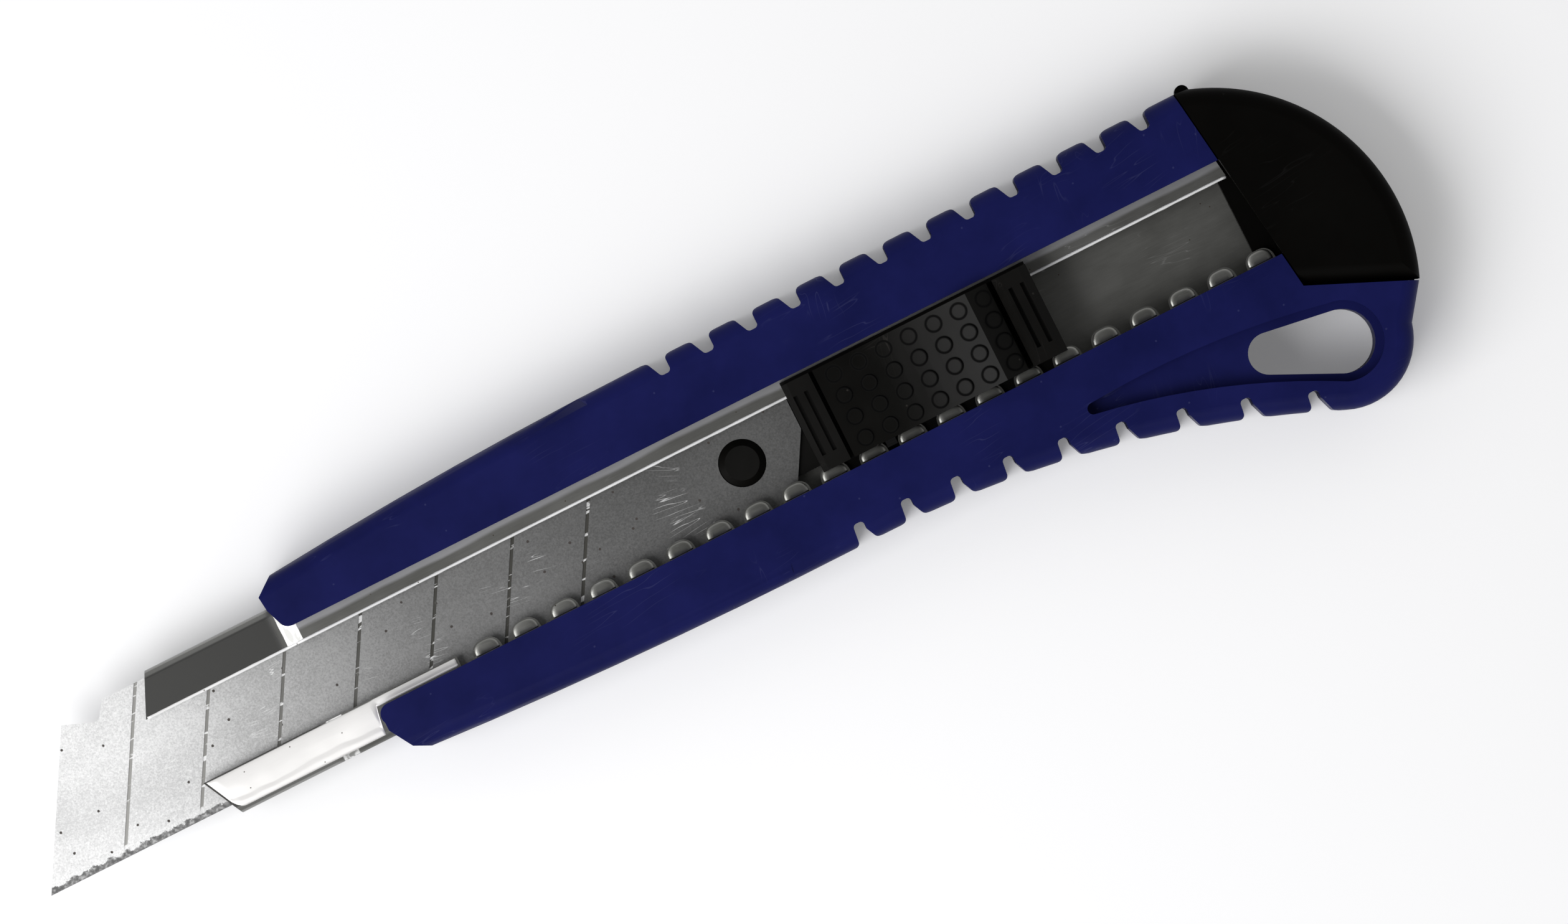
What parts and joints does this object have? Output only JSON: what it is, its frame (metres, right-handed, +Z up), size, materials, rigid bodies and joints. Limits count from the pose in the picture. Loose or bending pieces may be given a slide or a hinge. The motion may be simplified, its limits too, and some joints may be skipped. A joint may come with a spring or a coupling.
{
  "type": "craft knife",
  "caption": "Snap-off craft knife: moulded handle round a steel channel, thumb slide that carries the blade and locks in notches, end cap and lanyard hole.",
  "frame": {"origin": "On the flat back of the handle, below the middle of the steel channel's width and 80.5 mm behind the channel's nose.", "axes": "+X from the blade to the end cap along the channel, +Y towards the back of the blade, +Z up from the flat back to the thumb slide."},
  "size_m": [0.1782, 0.0436, 0.0147],
  "materials": {
    "blue_plastic": "satin moulded",
    "black_plastic": "satin moulded",
    "channel_steel": "bright folded sheet",
    "blade_steel": "ground",
    "spring_steel": "blackened"
  },
  "bodies": {
    "handle": {"handle_shell": "blue_plastic", "blade_sleeve": "channel_steel"},
    "carriage": {"blade_carrier": "black_plastic", "slider_frame": "black_plastic", "snap_blade": "blade_steel", "lock_spring": "spring_steel"},
    "button": {"thumb_button": "black_plastic"},
    "cap": {"end_cap": "black_plastic"}
  },
  "joints": [
    {"name": "blade_slide", "type": "slide", "parent": "handle", "child": "carriage", "axis": [1, 0, 0], "range_m": [-0.05593, 0.02542], "deforming": ["lock_spring"]},
    {"name": "button_press", "type": "hinge", "parent": "carriage", "child": "button", "pos_m": [0.03005, 0, 0.0105], "axis": [0, -1, 0], "range_deg": [0, 2.4], "stiffness_Nm_per_rad": 0.6, "deforming": ["lock_spring"]},
    {"name": "cap_pull", "type": "slide", "parent": "handle", "child": "cap", "axis": [1, 0, 0], "range_m": [0, 0.03]}
  ]
}
